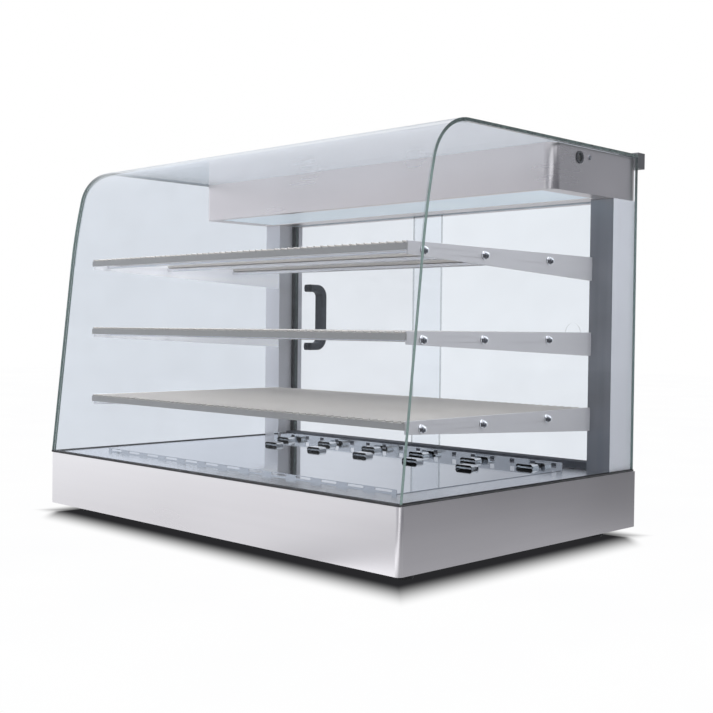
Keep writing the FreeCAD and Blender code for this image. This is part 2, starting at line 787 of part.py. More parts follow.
def grommet_place():
    return ("housing_front + 73", "housing_top - 17")


def end_screw_place():
    return ("housing_front + 101", "housing_top - 14")


def rail_screw_places():
    return [(x, "rail_top - rail_height / 2") for x in ("-400", "-135", "135", "400")]


def housing_fittings():
    diffuser = new_body("housing_diffuser")
    low = "housing_low + sheet_thick"
    side = ("-(housing_side - housing_radius)", "housing_side - housing_radius")
    pad(diffuser, "XY", (low, f"{low} + diffuser_thick"),
        rectangle(side, ("housing_front + sheet_thick + 2", "post_front - 2")))

    grommets, screws = [], []
    y, z = grommet_place()
    for side in SIDES.values():
        neck = mirrored(side, ("housing_side - 3", "housing_side"))
        flange = mirrored(side, ("housing_side", "housing_side + 1.5"))
        ring = fuse("grommet_ring", [
            rod("grommet_neck", "X", (y, z), neck, "grommet_radius - 0.05"),
            rod("grommet_flange", "X", (y, z), flange, "grommet_radius + 1.5")])
        through = mirrored(side, ("housing_side - 3", "housing_side + 1.5"))
        bore = rod("grommet_bore", "X", (y, z), through, "grommet_radius - 2")
        grommets.append(cut("grommet", ring, [bore]))
        shank = mirrored(side, ("housing_side - 9", "housing_side"))
        head = mirrored(side, ("housing_side", "housing_side + 1.8"))
        screws.append(fuse("end_screw", [
            rod("end_screw_shank", "X", end_screw_place(), shank, "2"),
            rod("end_screw_head", "X", end_screw_place(), head, "4.5")]))
    node(group("grommets_group", grommets), "housing_grommets")
    node(group("end_screws_group", screws), "housing_end_screws")

    tubes, holders = [], []
    for lane in ("housing_front + 62", "housing_front + 130"):
        across = (lane, "lamp_level")
        tubes.append(rod("lamp_tube", "X", across, ("-lamp_length / 2", "lamp_length / 2"), "lamp_radius"))
        for side in SIDES.values():
            span = mirrored(side, ("lamp_length / 2 - 8", "lamp_length / 2 + 12"))
            socket = mirrored(side, ("lamp_length / 2 - 8", "lamp_length / 2 + 0.5"))
            shell = block("holder_shell", span, (f"{lane} - 9", f"{lane} + 9"),
                          ("lamp_level - 9", "reflector_level"))
            bore = rod("holder_socket", "X", across, socket, "lamp_radius + 0.1")
            holders.append(cut("lamp_holder", shell, [bore]))
    node(group("tubes_group", tubes), "lamp_tubes")
    node(group("holders_group", holders), "lamp_holders")

    reflector = new_body("lamp_reflector")
    front, rear, thick = "housing_front + 24", "housing_front + 172", "1"
    top = f"reflector_level + {thick}"
    skirt = "lamp_level"
    corners = [
        (front, skirt), (f"{front} + 18", "reflector_level"), (f"{rear} - 18", "reflector_level"),
        (rear, skirt), (f"{rear} + {thick}", skirt), (f"{rear} - 17", top),
        (f"{front} + 17", top), (f"{front} - {thick}", skirt),
    ]
    pad(reflector, "YZ", ("-lamp_length / 2 - 30", "lamp_length / 2 + 30"), corners)


def rear_top_rail():
    body = new_body("rear_top_rail")
    low = "rail_top - rail_height"
    rear, wall = "rail_front + rail_depth", "2"
    corners = [
        ("rail_front", low), (rear, low), (rear, f"{low} + {wall}"),
        (f"rail_front + {wall}", f"{low} + {wall}"),
        (f"rail_front + {wall}", f"rail_top - {wall}"), (rear, f"rail_top - {wall}"),
        (rear, "rail_top"), ("rail_front", "rail_top"),
    ]
    pad(body, "YZ", ("-glass_side", "glass_side"), corners)
    for side in SIDES.values():
        pad(body, "YZ", mirrored(side, (f"glass_side - {wall}", "glass_side")),
            rectangle(("rail_front", rear), (low, "rail_top")))
    holes(body, "XZ", ("rail_front", f"rail_front + {wall}"), rail_screw_places(), "2.1")
    screws = []
    for place in rail_screw_places():
        head = rod("rail_head", "Y", place, (f"rail_front + {wall}", f"rail_front + {wall} + 3"), "4")
        shank = rod("rail_shank", "Y", place, ("rail_front - 9", f"rail_front + {wall}"), "2")
        screws.append(fuse("rail_screw", [head, shank]))
    node(group("rail_screws_group", screws), "rail_screws")


def lamp_cable():
    node(rod("lamp_cable_core", "Z", cable_place(), ("foot_height + 30", "housing_low + 30"), "3.5"),
         "lamp_cable")


# ---------------------------------------------------------------- sliding doors

# The lane in which each side's door meets its post.
JAMB_LANES = {"left": "outer_lane", "right": "inner_lane"}


def door_tracks():
    """Extrusions with one groove for each door: one stands on the base, one is sunk in the housing."""
    tracks = {
        "lower_door_track": (("rim", "lower_track_top"), ("rim + track_base", "lower_track_top")),
        "upper_door_track": (("housing_low", "upper_track_top"),
                             ("housing_low", "upper_track_top - track_base")),
    }
    length = ("-(post_inner - play / 2)", "post_inner - play / 2")
    for label, (heights, grooves) in tracks.items():
        body = new_body(label)
        pad(body, "YZ", length, rectangle(("track_front", "track_rear"), heights))
        for lane in ("inner_lane", "outer_lane"):
            walls = (f"{lane} - groove_width / 2", f"{lane} + groove_width / 2")
            pocket(body, "YZ", length, rectangle(walls, grooves))


def door_shoes(label, lane, x_span):
    """Plastic clips that hold the pane's edge and slide in the grooves."""
    shoes = []
    floor, roof = "rim + track_base + shoe_fit", "housing_low + upper_groove - 1"
    # each row: the clip's height span, then the height span of the slot that the pane fills
    levels = [
        ((floor, f"{floor} + 8"), ("door_low", f"{floor} + 8")),
        (("housing_low + 1", roof), ("housing_low + 1", "door_high")),
    ]
    low_x, high_x = x_span
    half = "groove_width / 2 - shoe_fit"
    half_slot = "glass_thick / 2 + 0.05"
    for heights, slot_heights in levels:
        for start in (f"({low_x}) + 15", f"({high_x}) - 15 - shoe_length"):
            span = (start, f"{start} + shoe_length")
            shell = block("shoe_shell", span, (f"{lane} - ({half})", f"{lane} + {half}"), heights)
            slot = block("shoe_slot", span,
                         (f"{lane} - ({half_slot})", f"{lane} + {half_slot}"), slot_heights)
            shoes.append(cut("door_shoe", shell, [slot]))
    node(group(label + "_group", shoes), label)


def sliding_doors():
    left_span = ("-door_edge", "door_overlap")
    right_span = ("-door_overlap", "door_edge")
    left = new_body("left_door_glass")
    faces = ("outer_lane - glass_thick / 2", "outer_face")
    pad(left, "XZ", faces, rectangle(left_span, ("door_low", "door_high")))
    holes(left, "XZ", faces, handle_screw_places(), "3.6")
    door_shoes("left_door_shoes", "outer_lane", left_span)

    right = new_body("right_door_glass")
    faces = ("inner_lane - glass_thick / 2", "inner_lane + glass_thick / 2")
    pad(right, "XZ", faces, rectangle(right_span, ("door_low", "door_high")))
    # a finger recess ground into the rear face, since the outer pane has to pass over it
    middle = "(door_low + door_high) / 2"
    corners, bends = round_slot("door_edge - 45", middle, "16", "15.9")
    pocket(right, "XZ", ("inner_lane + glass_thick / 2 - 1.5", "inner_lane + glass_thick / 2"),
           corners, bends)
    door_shoes("right_door_shoes", "inner_lane", right_span)


def handle_screw_places():
    middle = "handle_low + handle_height / 2"
    return [("-handle_edge", f"{middle} {sign} handle_pitch / 2") for sign in "-+"]


def soften_edges(body, radius, x_faces, y_face):
    """Rounds every edge that lies in one of the side faces, apart from those on the mounting face."""
    doc.recompute()
    base = body.Tip
    names = []
    for number, edge in enumerate(base.Shape.Edges, start=1):
        box = edge.BoundBox
        in_side = any(abs(box.XMin - face) + abs(box.XMax - face) < 0.01 for face in x_faces)
        if in_side and box.YMax > y_face + 0.01:
            names.append(f"Edge{number}")
    soften = body.newObject("PartDesign::Fillet", body.Name + "_fillet")
    soften.Base = (base, names)
    bind(soften, "Radius", radius)
    body.Tip = soften


def door_handle():
    """A bow handle: a flat bar bent into a D, with a soft outer corner at each end."""
    body = new_body("left_door_handle")
    x_span = ("-handle_edge - handle_width / 2", "-handle_edge + handle_width / 2")
    bend, inner = "handle_bend", "handle_inner_bend"
    front, back, low, high = "outer_face", "handle_back", "handle_low", "handle_high"
    corners = [
        (front, low), (f"{back} - {bend}", low), (back, f"{low} + {bend}"), (back, f"{high} - {bend}"),
        (f"{back} - {bend}", high), (front, high), (front, f"{high} - handle_thick"),
        (f"{back} - handle_thick - {inner}", f"{high} - handle_thick"),
        (f"{back} - handle_thick", f"{high} - handle_thick - {inner}"),
        (f"{back} - handle_thick", f"{low} + handle_thick + {inner}"),
        (f"{back} - handle_thick - {inner}", f"{low} + handle_thick"), (front, f"{low} + handle_thick"),
    ]
    bends = {1: bend, 3: bend, 7: f"-{inner}", 9: f"-{inner}"}
    pad(body, "YZ", x_span, corners, bends)
    holes(body, "XZ", (front, f"{front} + 18"), handle_screw_places(), "2.05")
    soften_edges(body, "handle_soften", {value(face) for face in x_span}, value(front))

    screws = []
    for place in handle_screw_places():
        inner_face = "outer_lane - glass_thick / 2"
        head = rod("handle_head", "Y", place, (f"{inner_face} - 2.5", inner_face), "6")
        shank = rod("handle_shank", "Y", place, (inner_face, f"{front} + 16"), "2")
        screws.append(fuse("handle_screw", [head, shank]))
    node(group("handle_screws_group", screws), "handle_screws")


# ---------------------------------------------------------------- shelves

def hook_top(number):
    """The top of an arm's hook, just behind the post's front wall."""
    return f"{shelf_top(number)} - 8"


def shelf_arm(name, number, side):
    """A tapered cantilever plate; its hook drops through a slot in the post and grips the wall."""
    body = new_body(f"{name}_arm")
    top = shelf_top(number)
    wall = "post_front + sheet_thick + 0.2"
    corners = [
        ("shelf_front", f"{top} - arm_front_height"), ("post_front", f"{top} - arm_rear_height"),
        ("post_front", f"{hook_top(number)} - hook_height"), (wall, f"{hook_top(number)} - hook_height"),
        (wall, f"{hook_top(number)} - hook_height - 6"),
        ("post_front + hook_reach", f"{hook_top(number)} - hook_height - 6"),
        ("post_front + hook_reach", hook_top(number)), ("post_front", hook_top(number)),
        ("post_front", top), ("shelf_front", top),
    ]
    pad(body, "YZ", mirrored(side, ("arm_inner", "arm_outer")), corners)
    rods = [(f"shelf_front + {place}", f"{top} - rod_drop") for place in ROD_PLACES]
    holes(body, "YZ", mirrored(side, ("arm_inner", "arm_outer")), rods, "rod_radius + 0.1")


def dome_nut(across, side):
    """A round-shouldered cap nut on the outer face of an arm."""
    collar = rod("nut_collar", "X", across, mirrored(side, ("arm_outer", "arm_outer + nut_base")),
                 "nut_radius")
    dome = doc.addObject("Part::Sphere", "nut_dome")
    bind(dome, "Radius", "nut_radius - 0.6")
    place_along(dome, "X", across, f"{side} * (arm_outer + nut_base)")
    bore = rod("nut_bore", "X", across, mirrored(side, ("arm_outer - 5", "arm_outer + nut_base + 1.5")),
               "rod_radius + 0.05")
    inside = block("nut_inside", mirrored(side, ("arm_outer - 9", "arm_outer")),
                   (f"{across[0]} - 9", f"{across[0]} + 9"), (f"{across[1]} - 9", f"{across[1]} + 9"))
    return cut("dome_nut", fuse("nut_solid", [collar, dome]), [fuse("nut_hollow", [bore, inside])])


def shelf_hardware():
    rods, nuts, bars = [], [], []
    for number in SHELVES.values():
        top = shelf_top(number)
        for place in ROD_PLACES:
            across = (f"shelf_front + {place}", f"{top} - rod_drop")
            reach = "arm_outer + nut_base + 1"
            rods.append(rod("tie_rod", "X", across, (f"-({reach})", reach), "rod_radius"))
            nuts += [dome_nut(across, side) for side in SIDES.values()]
        below = f"{top} - 2 * wire_radius - 0.05"
        bars.append(block("front_bar", ("-arm_outer", "arm_outer"),
                          ("shelf_front - bar_thick", "shelf_front"), (f"{below} - bar_height", below)))
    node(group("tie_rods_group", rods), "tie_rods")
    node(group("dome_nuts_group", nuts), "dome_nuts")
    node(group("front_bars_group", bars), "shelf_front_bars")


def wire_rack(name, number):
    """Fine wires from front to back, welded on three flat cross bars and two border wires."""
    body = new_body(f"{name}_rack")
    top = shelf_top(number)
    side = ("-rack_side", "rack_side")
    weld = "0.15"
    under = f"{top} - 2 * wire_radius"
    front, rear = "shelf_front - bar_thick - 1", "post_front - 3"
    for place in ROD_PLACES:
        bar = (f"shelf_front + {place} - 4", f"shelf_front + {place} + 4")
        rest = f"{top} - rod_drop + rod_radius + 0.05"
        pad(body, "YZ", side, rectangle(bar, (rest, f"{under} + {weld}")))
    level = f"{under} - border_radius + {weld}"
    pad_circles(body, "YZ", side, [("shelf_front + 4", level), (f"{rear} - 3", level)], "border_radius")
    doc.recompute()
    first = pad_circles(body, "XZ", (front, rear),
                        [("-rack_side + wire_radius", f"{top} - wire_radius")], "wire_radius")
    repeat(body, [first], "wire_count", "2 * rack_side - 2 * wire_radius")


# ---------------------------------------------------------------- build and write

def build():
    base_casing()
    base_bottom_cover()
    rubber_feet()
    deck_plates()
    glass_seat_gasket()
    heating_parts()
    terminal_block()
    rear_panel()
    for label, centre in zip(("power", "light"), switch_places()):
        rocker_switch(label, centre)
    thermostat()
    pilot_lamp()
    power_inlet()
    front_glass()
    side_glasses()
    posts()
    lamp_housing()
    housing_fittings()
    rear_top_rail()
    lamp_cable()
    door_tracks()
    sliding_doors()
    door_handle()
    for shelf, number in SHELVES.items():
        for name, side in SIDES.items():
            shelf_arm(f"{shelf}_{name}", number, side)
        wire_rack(shelf, number)
    shelf_hardware()
    doc.recompute()


def write_parts():
    """Checks every object and writes one STEP file for each sub-part."""
    for item in doc.Objects:
        if "Invalid" in item.State or "Error" in item.State:
            raise RuntimeError(f"{item.Name} did not build: {item.State}")
    os.makedirs("parts", exist_ok=True)
    for item in nodes:
        if item.Shape.isNull() or not item.Shape.isValid() or not item.Shape.Solids:
            raise RuntimeError(f"{item.Label} has no valid solid")
        item.Shape.exportStep(f"parts/{item.Label}.step")
    print(len(nodes), "sub-parts written")


build()
write_parts()
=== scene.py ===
import json
import math

import bmesh
import bpy
from mathutils import Matrix, Vector


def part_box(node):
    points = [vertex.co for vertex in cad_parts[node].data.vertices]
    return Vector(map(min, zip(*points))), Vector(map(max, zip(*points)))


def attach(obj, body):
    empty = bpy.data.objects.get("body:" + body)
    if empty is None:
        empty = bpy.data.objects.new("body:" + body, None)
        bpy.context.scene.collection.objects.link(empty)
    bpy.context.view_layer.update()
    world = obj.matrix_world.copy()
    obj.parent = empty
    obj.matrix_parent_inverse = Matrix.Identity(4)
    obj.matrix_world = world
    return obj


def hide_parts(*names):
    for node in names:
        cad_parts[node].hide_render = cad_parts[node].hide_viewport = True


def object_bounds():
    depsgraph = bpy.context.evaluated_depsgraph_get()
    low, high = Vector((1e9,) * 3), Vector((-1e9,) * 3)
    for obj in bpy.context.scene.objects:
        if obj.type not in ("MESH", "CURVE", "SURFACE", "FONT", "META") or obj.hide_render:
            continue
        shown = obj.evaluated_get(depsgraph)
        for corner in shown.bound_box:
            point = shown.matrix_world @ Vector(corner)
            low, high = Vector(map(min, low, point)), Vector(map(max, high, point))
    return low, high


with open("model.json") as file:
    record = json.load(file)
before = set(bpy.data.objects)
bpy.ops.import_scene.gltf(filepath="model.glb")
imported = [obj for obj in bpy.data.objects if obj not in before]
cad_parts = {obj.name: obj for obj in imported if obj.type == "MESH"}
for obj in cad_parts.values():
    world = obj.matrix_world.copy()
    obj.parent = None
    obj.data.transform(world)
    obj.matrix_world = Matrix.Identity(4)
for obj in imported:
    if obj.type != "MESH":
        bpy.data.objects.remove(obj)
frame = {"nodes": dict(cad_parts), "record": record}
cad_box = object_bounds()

# A counter-top hot food display case: materials for every CAD node, finer versions of its small
# fittings, and the studio it is pictured in. X runs to the right, Y to the back and Z up.

MM = 0.001
BACK = Vector((0, 1, 0))
FRONT = Vector((0, -1, 0))
DOWN = Vector((0, 0, -1))
SHARP_ANGLE = math.radians(40)


# ---------------------------------------------------------------- node building

class Shader:
    """Builds the nodes of one material or world; textures use object coordinates in metres."""

    def __init__(self, owner):
        self.owner = owner
        self.owner.use_nodes = True
        self.tree = self.owner.node_tree
        self.tree.nodes.clear()

    def node(self, kind, inputs=None, **settings):
        made = self.tree.nodes.new("ShaderNode" + kind)
        for key, setting in settings.items():
            setattr(made, key, setting)
        for key, item in (inputs or {}).items():
            self.feed(made.inputs[key], item)
        return made

    def feed(self, socket, item):
        if isinstance(item, bpy.types.NodeSocket):
            self.tree.links.new(item, socket)
        elif isinstance(item, (tuple, list)) and len(item) == 3 and socket.type == "RGBA":
            socket.default_value = (*item, 1.0)
        else:
            socket.default_value = item

    def place(self):
        return self.node("TexCoord").outputs["Object"]

    def normal_parts(self):
        """The surface's own direction, split in X, Y and Z."""
        geometry = self.node("NewGeometry")
        turned = self.node("VectorTransform", {"Vector": geometry.outputs["Normal"]},
                           vector_type="NORMAL", convert_from="WORLD", convert_to="OBJECT")
        return self.node("SeparateXYZ", {0: turned.outputs[0]}).outputs

    def place_parts(self):
        return self.node("SeparateXYZ", {0: self.place()}).outputs

    def noise(self, scale, stretch=(1, 1, 1), detail=3.0, roughness=0.5):
        mapped = self.node("Mapping", {"Vector": self.place(), "Scale": stretch})
        made = self.node("TexNoise", {"Vector": mapped.outputs[0], "Scale": scale,
                                      "Detail": detail, "Roughness": roughness})
        return made.outputs["Fac"]

    def ramp(self, factor, stops):
        made = self.node("ValToRGB", {"Fac": factor})
        elements = made.color_ramp.elements
        while len(elements) < len(stops):
            elements.new(0.5)
        for element, (position, colour) in zip(elements, stops):
            element.position = position
            element.color = (*colour, 1.0)
        return made.outputs["Color"]

    def grain_lines(self, density):
        """Brushed lines: soft noise with its own density along each axis."""
        return self.noise(1.0, density, 1.0, 0.4)

    def wiping_marks(self):
        return self.noise(40.0, (0.25, 1, 1), 3.0, 0.6)

    def spread(self, factor, low, high, from_low=0.3, from_high=0.7):
        """Maps a range, by default a texture's middle one, to low..high and holds the ends."""
        made = self.node("MapRange", {"Value": factor, "From Min": from_low, "From Max": from_high,
                                      "To Min": low, "To Max": high})
        return made.outputs["Result"]

    def math(self, operation, first, second=0.0):
        return self.node("Math", {0: first, 1: second}, operation=operation).outputs[0]

    def mix(self, factor, first, second):
        made = self.node("Mix", data_type="RGBA")
        for index, item in ((0, factor), (6, first), (7, second)):
            self.feed(made.inputs[index], item)
        return made.outputs[2]

    def bump(self, height, strength, distance):
        return self.node("Bump", {"Height": height, "Strength": strength,
                                  "Distance": distance}).outputs["Normal"]

    def sheet_ripples(self):
        """The slight waves of a polished sheet."""
        return self.bump(self.noise(9.0, (1, 1, 1), 2.0), 0.06, 1.0 * MM)

    def surface(self, colour, roughness, metallic=0.0, normal=None, **extra):
        inputs = {"Base Color": colour, "Roughness": roughness, "Metallic": metallic}
        if normal is not None:
            inputs["Normal"] = normal
        inputs.update({key.replace("_", " "): item for key, item in extra.items()})
        return self.node("BsdfPrincipled", inputs).outputs[0]

    def blend(self, factor, first, second):
        return self.node("MixShader", {0: factor, 1: first, 2: second}).outputs[0]

    def done(self, shader, output="OutputMaterial"):
        self.node(output, {"Surface": shader})
        return self.owner


def new_shader(name):
    """The shader of a new, empty material."""
    return Shader(bpy.data.materials.new(name))


# ---------------------------------------------------------------- metals

def brushed_steel(name, colour, roughness=0.3, grain=(2, 2, 70), wash=0.05, metallic=1.0):
    """Satin sheet: brushed lines, a slightly cloudy tone and shine, and slight ripples.

    grain is the lines' density along each axis, and wash is how much darker the cloudy parts are."""
    s = new_shader(name)
    lines = s.grain_lines(grain)
    cloud = s.noise(4.0, (1, 1, 1.6), 1.0)
    dark = tuple(part * (1 - wash) for part in colour)
    tone = s.mix(s.spread(cloud, 0, 1), dark, colour)
    tone = s.mix(s.spread(lines, 0.0, 0.3), tone, tuple(part * 0.93 for part in colour))
    rough = s.math("ADD", s.spread(lines, roughness - 0.01, roughness + 0.01),
                   s.spread(cloud, -0.03, 0.03))
    return s.done(s.surface(tone, rough, metallic, s.bump(cloud, 0.04, 1.0 * MM)))


def polished_steel(name, colour, roughness=0.05):
    """Mirror sheet with slight ripples and wiping marks."""
    s = new_shader(name)
    wipe = s.wiping_marks()
    rough = s.spread(wipe, roughness, roughness + 0.06)
    tone = s.mix(s.spread(wipe, 0, 0.35), colour, tuple(part * 0.9 for part in colour))
    return s.done(s.surface(tone, rough, 1.0, s.sheet_ripples()))


def arm_steel():
    """The arms' satin plate; painted light makes the left ones paler and glowing, as if lit by the pale
    pane beside them.
    """
    s = new_shader("arm_steel")
    lines = s.grain_lines((2, 2, 90))
    left = s.math("LESS_THAN", s.place_parts()[0], 0.0)
    # painted light: the left arms get a paler colour, less metal and a glow
    tone = s.mix(left, (0.72, 0.70, 0.71), (0.97, 0.97, 0.99))
    tone = s.mix(s.spread(lines, 0.0, 0.2), tone, (0.6, 0.59, 0.6))
    metallic = s.math("SUBTRACT", 0.35, s.math("MULTIPLY", left, 0.3))
    bounce = s.mix(left, (0, 0, 0), (0.28, 0.29, 0.31))
    return s.done(s.surface(tone, s.spread(lines, 0.32, 0.38), metallic, s.bump(lines, 0.04, 0.02 * MM),
                            Emission_Color=bounce, Emission_Strength=0.9))


def vented_mirror():
    """The deck insert's mirror sheet; the mouths of its air vents are painted dark, a painted shade.

    A mouth is a face above the plate that looks down or to the front, away from the sheet's folds."""
    s = new_shader("vented_mirror")
    low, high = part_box("deck_insert")
    facing, place = s.normal_parts(), s.place_parts()
    wipe = s.wiping_marks()
    ceiling = s.math("LESS_THAN", facing[2], -0.3)
    fold = 5 * MM
    between_folds = s.math("MULTIPLY", s.math("GREATER_THAN", place[1], low.y + fold),
                           s.math("LESS_THAN", place[1], high.y - fold))
    back_wall = s.math("MULTIPLY", s.math("LESS_THAN", facing[1], -0.5), between_folds)
    clear_of_plate = 2 * MM
    above = s.math("GREATER_THAN", place[2], low.z + clear_of_plate)
    # painted shade: the vent mouths' inner faces are coloured near black
    mouth = s.math("MULTIPLY", s.math("MAXIMUM", ceiling, back_wall), above)
    mirror = s.mix(s.spread(wipe, 0, 0.35), (0.66, 0.68, 0.70), (0.58, 0.60, 0.62))
    tone = s.mix(mouth, mirror, (0.012, 0.012, 0.014))
    rough = s.math("ADD", s.spread(wipe, 0.04, 0.1), s.math("MULTIPLY", mouth, 0.5))
    return s.done(s.surface(tone, rough, 1.0, s.sheet_ripples()))


def crescent_chrome():
    """Polished chrome for the small domes, with a painted reflection: painted dark at the lower front,
    and a bright painted highlight crescent behind it that glows a little.
    """
    s = new_shader("crescent_chrome")
    facing = s.normal_parts()
    wear = s.noise(400.0, (1, 1, 1), 3.0)
    # painted reflection and highlight: the colour and glow follow the surface's direction, not the lights
    turn = s.math("ADD", s.math("MULTIPLY", facing[1], 0.85), s.math("MULTIPLY", facing[2], 0.5))
    across = s.spread(turn, 0, 1, -0.8, 0.6)
    tone = s.ramp(across, [(0.0, (0.14, 0.14, 0.15)), (0.35, (0.5, 0.5, 0.53)), (0.5, (0.95, 0.95, 0.97))])
    shine = s.ramp(across, [(0.3, (0, 0, 0)), (0.55, (0.72, 0.73, 0.75)), (0.85, (0.2, 0.2, 0.2))])
    return s.done(s.surface(tone, s.spread(wear, 0.06, 0.16), 1.0, s.bump(wear, 0.05, 0.02 * MM),
                            Emission_Color=shine, Emission_Strength=0.8))


def post_steel():
    """The posts' satin sheet; the right post's front is painted darker, a painted reflection of a dark
    room.
    """
    s = new_shader("post_steel")
    lines = s.grain_lines((80, 80, 2))
    facing = s.normal_parts()
    front = s.math("LESS_THAN", facing[1], -0.7)
    right = s.math("GREATER_THAN", s.place_parts()[0], 0.0)
    # painted reflection: the right post's front gets a dark colour
    shade = s.math("MULTIPLY", front, right)
    tone = s.mix(shade, (0.80, 0.80, 0.83), (0.24, 0.25, 0.27))
    tone = s.mix(s.spread(lines, 0.0, 0.12), tone, (0.6, 0.61, 0.64))
    rough = s.spread(lines, 0.28, 0.34)
    metallic = s.mix(shade, (0.35, 0.35, 0.35), (1, 1, 1))
    return s.done(s.surface(tone, rough, metallic, s.bump(lines, 0.04, 0.02 * MM)))


# ---------------------------------------------------------------- glass

CUT_EDGES_ON_AXIS = "GREATER_THAN"
CUT_EDGES_OFF_AXIS = "LESS_THAN"
AXIS_SHARE = 0.7
PANE_SHEEN = 0.012
ROOF = cad_box[1].z
EDGE_FADE = (ROOF * 0.86, ROOF * 0.97)


def facing_power(s, power):
    """Grows from 0 face-on to 1 at grazing view, the same from both sides of a pane."""
    facing = s.node("LayerWeight", {"Blend": 0.5}).outputs["Facing"]
    return s.math("POWER", facing, power)


def pane_glass(name, tint, edge_test, edge_colour=(0.15, 0.21, 0.20), edge_clear=0.0):
    """Float glass: tinted see-through faces with a mirror sheen, and green cut edges.

    edge_test is (axis, comparison): a face is a cut edge when the axis' share in its direction
    is greater, or less, than AXIS_SHARE. The edges are painted darker over the height EDGE_FADE,
    a painted shade towards the roof, and edge_clear is how see-through they are."""
    s = new_shader(name)
    smears = s.noise(10.0, (1, 1, 1.4), 3.0, 0.6)
    face = tuple(math.sqrt(part) for part in tint)
    dirty = tuple(part * 0.985 for part in face)
    seen = s.mix(s.spread(smears, 0, 1), face, dirty)
    shadow_ray = s.node("LightPath").outputs["Is Shadow Ray"]
    clear = s.node("BsdfTransparent", {"Color": s.mix(shadow_ray, seen, (1, 1, 1))}).outputs[0]
    sheen = s.node("BsdfGlossy", {"Color": (0.95, 0.98, 1.0, 1),
                                  "Roughness": s.spread(smears, 0.01, 0.035)}).outputs[0]
    reflect = s.math("ADD", s.math("MULTIPLY", facing_power(s, 5.0), 0.9), PANE_SHEEN)
    reflect = s.math("MULTIPLY", reflect, s.math("SUBTRACT", 1.0, shadow_ray))
    faces = s.blend(reflect, clear, sheen)
    grind = s.noise(300.0, (1, 1, 1), 3.0)
    # painted shade: the cut edges are coloured darker towards the roof
    height = s.spread(s.place_parts()[2], 0, 1, *EDGE_FADE)
    tone = s.mix(height, edge_colour, (0.022, 0.028, 0.03))
    tone = s.mix(s.spread(grind, 0, 0.3), tone, tuple(part * 1.6 for part in edge_colour))
    solid = s.surface(tone, s.spread(grind, 0.12, 0.3), 0.0, s.bump(grind, 0.2, 0.1 * MM),
                      Coat_Weight=0.6)
    edge = s.blend(edge_clear, solid, clear)
    axis, comparison = edge_test
    along = s.math("ABSOLUTE", s.normal_parts()["XYZ".index(axis)])
    return s.done(s.blend(s.math(comparison, along, AXIS_SHARE), faces, edge))


def frosted_glass():
    """The pale diffuser below the lamps; it glows a little, a painted light that keeps it pale."""
    s = new_shader("frosted_glass")
    grain = s.noise(420.0, (1, 1, 1), 4.0)
    cloud = s.noise(6.0)
    tone = s.mix(s.spread(cloud, 0, 1), (0.66, 0.73, 0.78), (0.74, 0.80, 0.84))
    # painted light: the diffuser's glow
    glow = s.mix(s.spread(grain, 0, 1), (0.52, 0.58, 0.62), (0.6, 0.66, 0.7))
    return s.done(s.surface(tone, s.spread(grain, 0.35, 0.5), 0.0, s.bump(grain, 0.15, 0.05 * MM),
                            Emission_Color=glow, Emission_Strength=0.4))


def lamp_glass(name, tint):
    """Thin clear tube or bead: see-through with a soft sheen."""
    s = new_shader(name)
    haze = s.noise(60.0, (0.2, 1, 1), 3.0)
    clear = s.node("BsdfTransparent", {"Color": (*tint, 1)}).outputs[0]
    sheen = s.node("BsdfGlossy", {"Roughness": s.spread(haze, 0.02, 0.08)}).outputs[0]
    reflect = s.math("ADD", s.math("MULTIPLY", facing_power(s, 3.0), 0.8), 0.08)
    return s.done(s.blend(reflect, clear, sheen))


# ---------------------------------------------------------------- plastics, rubber, ceramic

def plastic(name, colour, roughness=0.4, grain=0.12, coat=0.0):
    """Moulded plastic with a spark-eroded grain and slightly uneven colour."""
    s = new_shader(name)
    fine = s.noise(900.0, (1, 1, 1), 3.0)
    cloud = s.noise(25.0)
    light = tuple(min(1.0, part * 1.25 + 0.01) for part in colour)
    tone = s.mix(s.spread(cloud, 0, 1), colour, light)
    rough = s.spread(fine, roughness - 0.06, roughness + 0.08)
    return s.done(s.surface(tone, rough, 0.0, s.bump(fine, grain, 0.08 * MM), Coat_Weight=coat))


def rubber(name, colour=(0.018, 0.019, 0.022)):
    """Matt rubber with a fine grain and a little dust."""
    s = new_shader(name)
    fine = s.noise(500.0, (1, 1, 1), 4.0, 0.7)
    dust = s.noise(35.0, (1, 1, 1), 5.0, 0.7)
    tone = s.mix(s.spread(dust, 0, 0.5), colour, (0.10, 0.10, 0.105))
    return s.done(s.surface(tone, s.spread(fine, 0.6, 0.85), 0.0, s.bump(fine, 0.3, 0.1 * MM)))


def ceramic():
    """Glazed off-white ceramic with faint specks."""
    s = new_shader("white_ceramic")
    speck = s.noise(160.0, (1, 1, 1), 4.0)
    tone = s.mix(s.spread(speck, 0, 1), (0.72, 0.7, 0.64), (0.82, 0.8, 0.75))
    return s.done(s.surface(tone, s.spread(speck, 0.2, 0.35), 0.0, s.bump(speck, 0.08, 0.1 * MM)))


